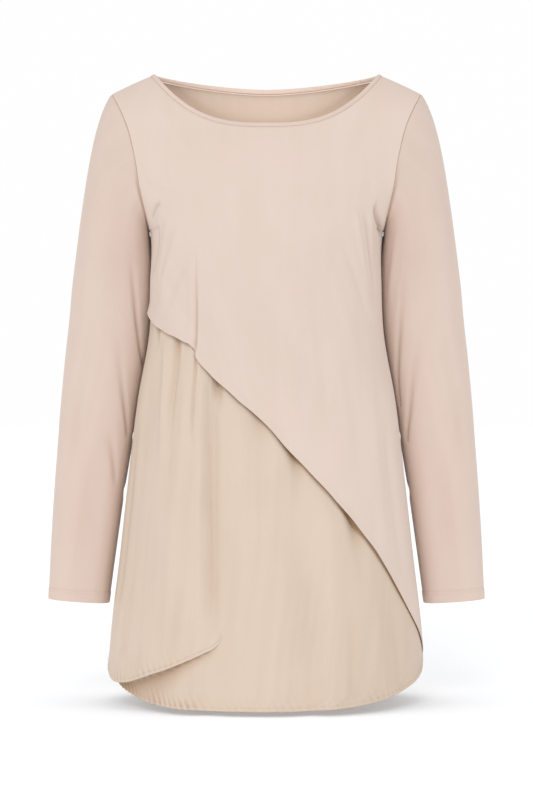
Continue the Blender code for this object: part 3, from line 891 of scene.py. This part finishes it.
OVERLAP_GRID = (150, 180)     # rows, columns
OVERLAP_TIP = -16.2           # angle of its free edge at the hem
OVERLAP_TIP_HEIGHT = -0.692
OVERLAP_SLANT = 26.5          # how far that edge turns away, in degrees a metre going up
OVERLAP_ABOVE = 0.030         # how far the overlap runs up under the jersey's edge
OVERLAP_SETTLE_STEPS = 60
share = bunched(OVERLAP_GRID[1], (0.0, 0.03, 2.0))[None, :]
down = bunched(OVERLAP_GRID[0], (0.078, 0.025, 4.0), HEM_BUNCH)[:, None]
height = np.full((OVERLAP_GRID[0] + 1, OVERLAP_GRID[1] + 1), OVERLAP_TIP_HEIGHT)
for _ in range(OVERLAP_SETTLE_STEPS):
    free_edge = OVERLAP_TIP - OVERLAP_SLANT * (height - OVERLAP_TIP_HEIGHT)
    angle = -90 + (free_edge + 90) * share
    top = overlay_hem(angle) + OVERLAP_ABOVE
    hem = overlap_hem(angle)
    height = (height + top + (hem - top) * down) / 2
above = height - hem
from_edge = (free_edge - angle) * PER_DEGREE
feather = ease(from_edge / 0.012)
step = layer_step(angle, height)
step = 0.0005 + (step - 0.0005) * ease(from_edge / 0.020)
flare = 0.0040 * np.exp(-(above / 0.035) ** 2) * ease(from_edge / 0.080)
lift = satin_relief(angle, height) + step + flare * ease((90 + angle) / 25)
lift += seam_ditch(angle, height, height + 1)
puckers = hem_puckers(angle * PER_DEGREE + 0.01, above, 0.0071, 0.0019) * ease(from_edge / 0.12)
lift += puckers + rolled_hem(above, SATIN_HEM_WIDTH, 0.0005) * feather
valley = np.exp(-(from_edge / 0.006) ** 2) * ease((above - 0.004) / 0.02)
lift -= 0.0010 * valley
# painted shade: the satin's own, in the troughs of the puckers, and in the valley along the free edge
shade = satin_shade(angle, height) + np.clip(-puckers / 0.0024, 0, 1) * 0.50 + 0.20 * valley
shade = np.pad(shade, ((0, 0), (2, 0)), mode="edge")
points = form(-1, angle, height, lift)
hem_stitch = line_above(points, above, SATIN_HEM_WIDTH)
hem_out = outward(-1, angle[-1], height[-1])
points = turned_in(points, -outward(-1, angle, height), ("left",))
overlap = cloth("front_overlap_satin", points, True, shade=shade)
overlap.data.materials.append(satin)
ends = np.zeros(2 * len(overlap.data.edges), int)
overlap.data.edges.foreach_get("vertices", ends)
on_edge = (ends.reshape(-1, 2) % points.shape[1] == points.shape[1] - 1).all(1)
crisp = overlap.data.attributes.new("sharp_edge", "BOOLEAN", "EDGE")
crisp.data.foreach_set("value", on_edge)
thin = overlap.vertex_groups.new(name="feathered_edge")
weights = np.concatenate([np.ones((len(feather), 2)), feather], 1).reshape(-1)
for level in range(16):
    chosen = np.nonzero(np.minimum((weights * 16).astype(int), 15) == level)[0]
    thin.add(chosen.tolist(), (level + 1) / 16, "REPLACE")
overlap.modifiers["cloth_wall"].vertex_group = "feathered_edge"
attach(overlap, "root")
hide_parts("front_overlap")
hem_row = stitches(
    "overlap_hem_stitches", hem_stitch + hem_out * 0.0003, hem_out, *SATIN_STITCH, satin_thread)
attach(hem_row, "root")


# Front overlay
# The blush jersey front: one piece of fine matte knit, sewn in at the neck, shoulders,
# armholes and sides, and cut off along a slanting edge that curls out a little.
jersey = cloth_material(
    "blush_jersey", light=(0.750, 0.624, 0.546), deep=(0.713, 0.588, 0.508),
    warm=(0.746, 0.603, 0.524), shaded=(0.50, 0.37, 0.31), streaks=0.35, rough=0.85, sheen=0.20, gloss=0.20,
    pitch=(0.0006, 0.0008), grain=0.5, bump=0.20)

fold_columns = (0.305, 0.022, 4.0)
angle, height, top = panel_grid(
    -1, overlay_hem, panel_columns(236, fold_columns), 66, bunched(110, (1.0, 0.03, 3.0)))
above = height - overlay_hem(angle)
layers = 1 + ease((-angle - 8) / 12) * ease((UNDERARM - height) / 0.065)
uneven = 1 + 0.5 * np.sin(angle * 0.31 + 1) * np.sin(angle * 0.13)
curl = 0.0016 * uneven * np.exp(-(above / 0.007) ** 2) * ease((90 + angle) / 5)
curl = curl * (0.15 + 0.85 * ease((72 - angle) / 30))
lift = big_folds(-1, angle, height) + panel_creases(JERSEY_CREASES, angle, height)
lift += layer_step(angle, height) * layers + curl + seam_ditch(angle, height, top)
# painted shade: in the sharpest folds, in a band round the belly about 0.33 m down, and near the top by the
# shoulders and neck
sharp = panel_creases(JERSEY_CREASES[:SHARP_FOLDS], angle, height)
shade = 0.24 * np.clip(-sharp / 0.0026, 0, 2.4)
shade += 0.08 * np.exp(-((height + 0.33) / 0.12) ** 2) + 0.06 * ease((height + 0.07) / 0.05)
shade = np.pad(shade, ((2, 0), (2, 2)), mode="edge")
points = form(-1, angle, height, lift)
hem_line = points[-1]
points = turned_in(points, -outward(-1, angle, height), ("top", "left", "right"))
overlay = cloth("front_overlay_jersey", points, True, shade=shade)
overlay.data.materials.append(jersey)
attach(overlay, "root")
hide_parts("front_overlay")


def bead(name, path, radius, sides=8):
    """A fine round roll along a path: circles of one radius, square to the path."""
    run = np.gradient(path, axis=0)
    run /= np.linalg.norm(run, axis=1, keepdims=True)
    up = np.cross(run, np.cross(np.array([0.0, 0.0, 1.0]), run))
    up /= np.linalg.norm(up, axis=1, keepdims=True)
    out = np.cross(up, run)
    turn = 2 * np.pi * np.arange(sides) / sides
    ring = out[:, None] * np.cos(turn)[:, None] + up[:, None] * np.sin(turn)[:, None]
    tube = path[:, None] + radius * ring
    ends = np.repeat(path[[0, -1]][:, None], sides, 1)
    return cloth(name, np.concatenate([ends[:1], tube, ends[1:]]), True, closed=True, thick=0)


edge_roll = bead("overlay_edge_roll", hem_line, 0.0007)
edge_roll.data.materials.append(jersey)
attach(edge_roll, "root")


# Back
# The jersey back, cut in one with a shirt-tail hem. Its hem is turned up 14 mm and held by
# two rows of stitches.
BACK_CREASES = (
    (((-88, -0.199), (-71, -0.181), (-52, -0.165)), 0.0045, -0.0030, 0, 0.0, 0.7),
    (((88, -0.199), (72, -0.183), (50, -0.168)), 0.0045, -0.0034, 0, 0.0, 0.7),
    (((-44, -0.170), (-58, -0.225), (-72, -0.300)), 0.0095, 0.0036, 0, 0.4, 0.4),
    (((46, -0.175), (57, -0.230), (70, -0.310)), 0.0090, 0.0038, 0, 0.4, 0.4),
    (((-60, -0.190), (-72, -0.225), (-83, -0.275)), 0.0060, -0.0034, 0, 0.3, 0.4),
    (((58, -0.188), (71, -0.220), (83, -0.268)), 0.0060, -0.0036, 0, 0.3, 0.4),
    (((-20, -0.240), (-26, -0.300), (-30, -0.400)), 0.0105, -0.0028, 0, 0.4, 0.4),
    (((22, -0.250), (25, -0.320), (27, -0.430)), 0.0100, -0.0026, 0, 0.4, 0.4),
    (((-36, -0.290), (-12, -0.305), (6, -0.300)), 0.0090, -0.0022, 0, 0.5, 0.5),
    (((8, -0.272), (24, -0.284), (44, -0.276)), 0.0100, -0.0020, 0, 0.5, 0.5),
    (((-20, -0.560), (-21, -0.660), (-20, -0.777)), 0.0100, -0.0026, 0, 0.6, 0.0),
    (((2, -0.520), (1, -0.640), (2, -0.777)), 0.0110, 0.0022, 0, 0.6, 0.0),
    (((22, -0.540), (23, -0.660), (22, -0.777)), 0.0095, -0.0028, 0, 0.6, 0.0),
    (((46, -0.560), (47, -0.660), (48, -0.760)), 0.0100, 0.0024, 0, 0.5, 0.1),
    (((-44, -0.540), (-43, -0.640), (-44, -0.760)), 0.0100, 0.0024, 0, 0.5, 0.1),
    (((-66, -0.520), (-66, -0.620), (-67, -0.740)), 0.0090, -0.0022, 0, 0.5, 0.1),
    (((70, -0.500), (71, -0.610), (70, -0.735)), 0.0090, -0.0020, 0, 0.5, 0.1),
    (((-30, -0.075), (0, -0.088), (28, -0.076)), 0.0120, -0.0014, 0, 0.5, 0.5),
)


def back_relief(angle, height):
    """The back's big folds and small creases together."""
    return big_folds(1, angle, height) + panel_creases(BACK_CREASES, angle, height)


jersey_thread = thread_material("jersey_thread", (0.66, 0.53, 0.46))
BACK_HEM_WIDTH = 0.0140
HEM_TWIN = 0.0030
angle, height, top = panel_grid(1, shirt_tail, panel_columns(170), 40, bunched(110, HEM_BUNCH))
above = height - shirt_tail(angle)
lift = back_relief(angle, height) + layer_step(angle, height) + seam_ditch(angle, height, top)
lift += rolled_hem(above, BACK_HEM_WIDTH, 0.0004)
points = form(1, angle, height, lift)
hem_out = outward(1, angle[-1], height[-1])
for number, distance in enumerate((BACK_HEM_WIDTH, BACK_HEM_WIDTH - HEM_TWIN)):
    hem_row = stitches(
        f"back_hem_stitches_{number + 1}", line_above(points, above, distance) + hem_out * 0.0004,
        hem_out, *JERSEY_STITCH, jersey_thread)
    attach(hem_row, "root")
points = turned_in(points, -outward(1, angle, height), ("top", "left", "right"))
back = cloth("back_jersey", points, False)
back.data.materials.append(jersey)
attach(back, "root")
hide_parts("back")


# Back lining
# The beige inner layer of the back, which shows through the neck. It is sewn in with the
# jersey at the neck, shoulders, armholes and sides, and hangs a little shorter.
lining_cloth = cloth_material(
    "beige_lining", light=(0.655, 0.535, 0.440), deep=(0.615, 0.495, 0.400),
    warm=(0.650, 0.520, 0.415), shaded=(0.40, 0.26, 0.17), streaks=0.7, rough=0.60, sheen=0.08, gloss=0.30,
    pitch=(0.0005, 0.0007), grain=0.6, bump=0.25)
LINING_CREASES = (
    (((46, -0.020), (36, -0.030), (26, -0.036)), 0.0040, -0.0014, 0, 0.2, 0.7),
    (((-44, -0.018), (-34, -0.030), (-24, -0.034)), 0.0050, -0.0012, 0, 0.2, 0.7),
    (((-18, -0.045), (4, -0.052), (22, -0.047)), 0.0080, -0.0010, 0, 0.5, 0.5),
)


LINING_SHORT = 0.012      # how much shorter the lining is than the back


def lining_hem(angle):
    """Height of the lining's hem: the back's, and 12 mm more."""
    return shirt_tail(angle) + LINING_SHORT


angle, height, top = panel_grid(1, lining_hem, panel_columns(130), 50, bunched(70))
lift = back_relief(angle, height) + panel_creases(LINING_CREASES, angle, height)
points = form(1, angle, height, lift)
# painted shade on the lining: darker down towards where the front's neck edge hides it, and a painted
# shadow line along its top edge under the binding
over_front = height - neck_line(-1, points[..., 0], 0) - 0.021
shade = 0.42 * np.exp(-np.maximum(over_front, 0) / 0.006)
shade += 0.80 * np.exp(-((top - height) / 0.0018) ** 2)
shade = np.pad(shade, ((0, 0), (2, 2)), mode="edge")
points = turned_in(points, -outward(1, angle, height), ("left", "right"))
lining = cloth("back_lining_satin", points, False, shade=shade)
lining.data.materials.append(lining_cloth)
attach(lining, "root")
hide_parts("back_lining")


# Sleeves
# Two long set-in sleeves of the same jersey. Each cap is sewn round the armhole, the seam
# runs down the inside of the arm, and the end is turned up 14 mm and twin-stitched.
# a darker, warmer copy of the front's jersey: painted shade over the whole of both sleeves
shaded_sleeve_jersey = cloth_material(
    "blush_jersey_shaded_sleeve", light=(0.725, 0.588, 0.512), deep=(0.688, 0.550, 0.472),
    warm=(0.728, 0.558, 0.478), shaded=(0.46, 0.30, 0.22), streaks=0.5, rough=0.85, sheen=0.20, gloss=0.20,
    pitch=(0.0006, 0.0008), grain=0.5, bump=0.20)

# height, nearest and farthest distance from the centre line, half depth, middle in Y
SLEEVE_SECTIONS = (
    (-0.206, 0.1466, 0.2362, 0.058, 0.014),
    (-0.230, 0.1432, 0.2402, 0.055, 0.026),
    (-0.256, 0.1432, 0.2440, 0.054, 0.032),
    (-0.306, 0.1454, 0.2486, 0.052, 0.033),
    (-0.352, 0.1514, 0.2536, 0.050, 0.032),
    (-0.406, 0.1611, 0.2587, 0.047, 0.031),
    (-0.465, 0.1702, 0.2629, 0.045, 0.027),
    (-0.518, 0.1790, 0.2666, 0.043, 0.024),
    (-0.575, 0.1872, 0.2698, 0.040, 0.020),
    (-0.620, 0.1935, 0.2718, 0.038, 0.018),
    (-0.655, 0.1980, 0.2732, 0.036, 0.016),
)
SLEEVE_TOP = -0.206       # height at which the cap ends and the tube begins
SLEEVE_END = -0.654
SLEEVE_HEM = 0.0140
SLEEVE_COLUMNS = 124
TUBE_ROWS = 184
CAP_ROWS = 44
CAP_SWELL = 0.60          # how early the sleeve cap goes outwards
CAP_FALL = 0.18           # and how early it falls
JOIN_ROWS = 12.0          # rows each side of the cap's end over which it is smoothed
JOIN_PASSES = 120
SLEEVE_FLATNESS = 0.85    # power of the sine and cosine round a sleeve; 1 is a true oval
INNER_FLATNESS = 0.20     # how much lower the power is at the front of the inner side
PER_SLEEVE_DEGREE = 0.00082

# path of (degrees round from the outside by way of the front, height), then as above
FRONT_SLEEVE_CREASES = {
    -1: (
        (((109, -0.228), (111, -0.240), (116, -0.269), (125, -0.306), (143, -0.343), (166, -0.365)),
         0.0036, -0.0034, 0, 0.6, 0.0),
        (((93, -0.290), (100, -0.335), (112, -0.381), (129, -0.418), (146, -0.449)),
         0.0040, -0.0030, 0, 0.8, 0.0),
        (((100, -0.440), (113, -0.468), (135, -0.518)), 0.0050, -0.0020, 0, 0.5, 0.2),
        (((70, -0.200), (84, -0.280), (96, -0.380)), 0.0090, 0.0016, 0, 0.5, 0.5),
    ),
    1: (
        (((107, -0.244), (110, -0.269), (117, -0.306), (128, -0.343), (143, -0.381), (151, -0.412)),
         0.0038, -0.0034, 0, 0.8, 0.0),
        (((88, -0.285), (96, -0.335), (111, -0.381), (125, -0.418), (145, -0.456)),
         0.0040, -0.0028, 0, 0.8, 0.0),
        (((122, -0.190), (128, -0.240), (142, -0.300)), 0.0050, 0.0016, 0, 0.4, 0.4),
        (((66, -0.220), (80, -0.300), (90, -0.400)), 0.0090, 0.0014, 0, 0.5, 0.5),
    ),
}
SLEEVE_CREASES = (
    (((204, -0.200), (204, -0.235), (203, -0.280)), 0.0085, 0.0080, 0, 0.0, 0.4),
    (((60, -0.330), (64, -0.440), (60, -0.560)), 0.0110, -0.0012, 0, 0.5, 0.5),
    (((96, -0.430), (92, -0.520), (94, -0.620)), 0.0100, -0.0012, 0, 0.5, 0.3),
    (((250, -0.240), (238, -0.330), (214, -0.430)), 0.0070, 0, 0.0026, 0.3, 0.3),
    (((236, -0.200), (220, -0.280), (200, -0.360)), 0.0060, -0.0030, 0, 0.3, 0.3),
    (((278, -0.340), (262, -0.385), (238, -0.420)), 0.0070, -0.0028, 0, 0.4, 0.4),
    (((300, -0.300), (292, -0.400), (296, -0.520)), 0.0110, -0.0014, 0, 0.5, 0.5),
    (((170, -0.440), (186, -0.450), (205, -0.432)), 0.0060, -0.0020, 0, 0.5, 0.5),
    (((168, -0.510), (184, -0.520), (204, -0.512)), 0.0070, -0.0016, 0, 0.5, 0.5),
)


def armhole_ring(around):
    """The sleeve's end of the armhole seam, just clear of the panels' edge.

    Goes from the shoulder tip down the front, and up the back, at cosine-spaced heights.
    """
    top = shoulder_line(SHOULDER_HALF)
    height = top + (UNDERARM - top) * (1 - np.cos(around)) / 2
    front = (np.sin(around) >= 0)[:, None]
    angle = np.full_like(height, 90.0)
    ring = np.where(front, bare_form(-1, angle, height), bare_form(1, angle, height))
    into = -np.where(front, outward(-1, angle, height), outward(1, angle, height))
    lean = smooth_table(BODY_SECTIONS, 1, height + 0.001) - smooth_table(BODY_SECTIONS, 1, height)
    lean = lean / 0.001
    out = np.stack([np.ones_like(lean), np.zeros_like(lean), -lean], -1)
    out /= np.linalg.norm(out, axis=-1, keepdims=True)
    proud = np.maximum(np.sum(-into * out, -1) * 0.0016, 0)
    return ring - into * 0.0006 + out * (0.0009 + proud)[:, None], into


def flattened(share, around):
    """A sine or cosine pushed towards 1 and -1: its size to a power below 1, sign kept.

    The power is 0.85, and 0.65 at the front of the arm's inner side.
    """
    front = ease(np.sin(around) * 4 + 0.5) * ease(0.5 - 1.5 * np.cos(around))
    return np.sign(share) * np.abs(share) ** (SLEEVE_FLATNESS - INNER_FLATNESS * front)


def sleeve(name, node, hand):
    """A set-in sleeve: its cap swells from the armhole, then a flattened tube hangs to the hem.

    Down the tube, x goes between the near and far sides as a flattened cosine, and y between
    the front and back as a flattened sine. With t as a cap row's share to the power 1.3, the
    cap has gone twice a constant times t times what is left of it, plus t squared, of the way
    to the tube. The constant is larger sideways than down, so the cap swells before it falls.
    The rows round the join are then smoothed.
    """
    around = 2 * np.pi * np.arange(SLEEVE_COLUMNS) / SLEEVE_COLUMNS
    ring, into = armhole_ring(around)
    share = bunched(TUBE_ROWS, (1.0, 0.045, 2.5))
    height = (SLEEVE_TOP + (SLEEVE_END - SLEEVE_TOP) * share)[:, None]
    near, far, half_depth, set_back = (smooth_table(SLEEVE_SECTIONS, k, height) for k in (1, 2, 3, 4))
    x = (near + far) / 2 + (far - near) / 2 * flattened(np.cos(around), around)
    y = set_back - half_depth * flattened(np.sin(around), around)
    z = height - 0.005 * (far - x) / (far - near) * ease((-0.45 - height) / 0.2)
    tube = np.stack([x, y, z], -1)
    t = np.linspace(0, 1, CAP_ROWS + 1)[:-1, None, None] ** 1.3
    swell = 2 * CAP_SWELL * t * (1 - t) + t * t
    fall = 2 * CAP_FALL * t * (1 - t) + t * t
    cap = ring + (tube[0] - ring) * np.concatenate([swell, swell, fall], -1)
    points = np.concatenate([cap, tube])
    near_join = np.exp(-((np.arange(1, len(points) - 1) - len(cap)) / JOIN_ROWS) ** 2)[:, None, None]
    for _ in range(JOIN_PASSES):
        points[1:-1] += 0.25 * near_join * (points[:-2] - 2 * points[1:-1] + points[2:])
    across = np.roll(points, -1, 1) - np.roll(points, 1, 1)
    out = np.cross(across, np.gradient(points, axis=0))
    out /= np.linalg.norm(out, axis=-1, keepdims=True)
    tall = points[..., 2]
    round_arm = np.broadcast_to(np.degrees(around) * PER_SLEEVE_DEGREE, tall.shape)
    rows = [([(a * PER_SLEEVE_DEGREE, z) for a, z in row[0]], *row[1:])
            for row in FRONT_SLEEVE_CREASES[hand] + SLEEVE_CREASES]
    above = np.maximum(tall - tall[-1], 0)
    folds = creases(rows, round_arm, tall)
    lift = folds + rolled_hem(above, SLEEVE_HEM, 0.0005)
    from_seam = np.linalg.norm(points - points[:1], axis=-1)
    lift = lift * ease(from_seam / 0.02) - 0.0008 * np.exp(-(from_seam / 0.0015) ** 2)
    points = points + out * lift[..., None]
    mirror = np.array([hand, 1, 1])
    for number, distance in enumerate((SLEEVE_HEM, SLEEVE_HEM - HEM_TWIN)):
        line = line_above(points, above, distance) + out[-1] * 0.0004
        line = np.concatenate([line, line[:1]]) * mirror
        row = stitches(f"{name}_stitches_{number + 1}", line, np.concatenate([out[-1], out[-1, :1]])
                       * mirror, *JERSEY_STITCH, jersey_thread)
        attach(row, "root")
    # painted shade: towards the top of the sleeve, in its folds, and as a dark slit along the lower front
    # of the armhole seam
    low_front = ease((-0.105 - tall) / 0.05) * ease(np.sin(around) * 3)
    shade = 0.06 * ease((tall + 0.30) / 0.15) + 0.35 * np.clip(-folds / 0.0036, 0, 1)
    shade += 0.75 * low_front * np.exp(-(from_seam / 0.0045) ** 2)
    shade = np.pad(shade, ((2, 0), (0, 0)), mode="edge")
    allowance = [ring + into * deep for deep in ALLOWANCE_IN]
    points = np.concatenate([np.array(allowance), points]) * mirror
    piece = cloth(name, points, hand < 0, closed=True, shade=shade)
    piece.data.materials.append(shaded_sleeve_jersey)
    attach(piece, "root")
    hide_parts(node)


sleeve("sleeve_right_jersey", "sleeve_right", -1)
sleeve("sleeve_left_jersey", "sleeve_left", 1)


# Neck binding
# A strip of the jersey, 5 mm wide when finished, folded over the neck edge all round and
# stitched down. It is slightly thicker than the panels it holds.
binding_cloth = cloth_material(
    "blush_binding", light=(0.750, 0.610, 0.530), deep=(0.700, 0.560, 0.480),
    warm=(0.740, 0.580, 0.500), shaded=(0.50, 0.37, 0.31), streaks=0.35, rough=0.85, sheen=0.20, gloss=0.20,
    pitch=(0.0006, 0.0008), grain=0.5, bump=0.20)


def neck_edge(inset):
    """The neck edge, or a line a little way in: front from right to left, then the back."""
    share = np.sin(np.linspace(-np.pi / 2, np.pi / 2, 161))
    edge = np.degrees(np.arcsin((NECK_HALF + inset) / SHOULDER_HALF))
    loop = []
    for side in (-1, 1):
        angle = share * edge
        height = np.zeros_like(angle)
        for _ in range(SETTLE_STEPS):
            x = smooth_table(BODY_SECTIONS, 1, height) * np.sin(np.radians(angle))
            height = (height + neck_line(side, x, inset)) / 2
        points = form(side, angle, height, np.full_like(height, 0.0006))
        out = outward(side, angle, height)
        points[[0, -1], 1] = 0
        out[[0, -1], 1] = 0
        out[[0, -1]] /= np.linalg.norm(out[[0, -1]], axis=-1, keepdims=True)
        if side > 0:
            points = points[-2:0:-1]
            out = out[-2:0:-1]
        loop.append((points, out))
    return np.concatenate([p for p, _ in loop]), np.concatenate([o for _, o in loop])


upper, out = neck_edge(0.0)
lower, _ = neck_edge(BINDING_WIDTH)
turn = 2 * np.pi * np.arange(20) / 20
wide = np.sign(np.cos(turn)) * np.abs(np.cos(turn)) ** 0.8 / 2
thick = np.sign(np.sin(turn)) * np.abs(np.sin(turn)) ** 0.8 * 0.0012
middle = (upper + lower) / 2
tube = (middle[:, None] + (upper - lower)[:, None] * wide[:, None]
        + out[:, None] * thick[:, None])
tube = np.concatenate([tube, tube[:1]])
binding = cloth("neck_binding_jersey", tube, False, closed=True, thick=0)
binding.data.materials.append(binding_cloth)
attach(binding, "root")
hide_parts("neck_binding")
line = lower + (upper - lower) * 0.25 + out * 0.0010
neck_row = stitches(
    "neck_binding_stitches", np.concatenate([line, line[:1]]), np.concatenate([out, out[:1]]),
    *JERSEY_STITCH, jersey_thread)
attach(neck_row, "root")
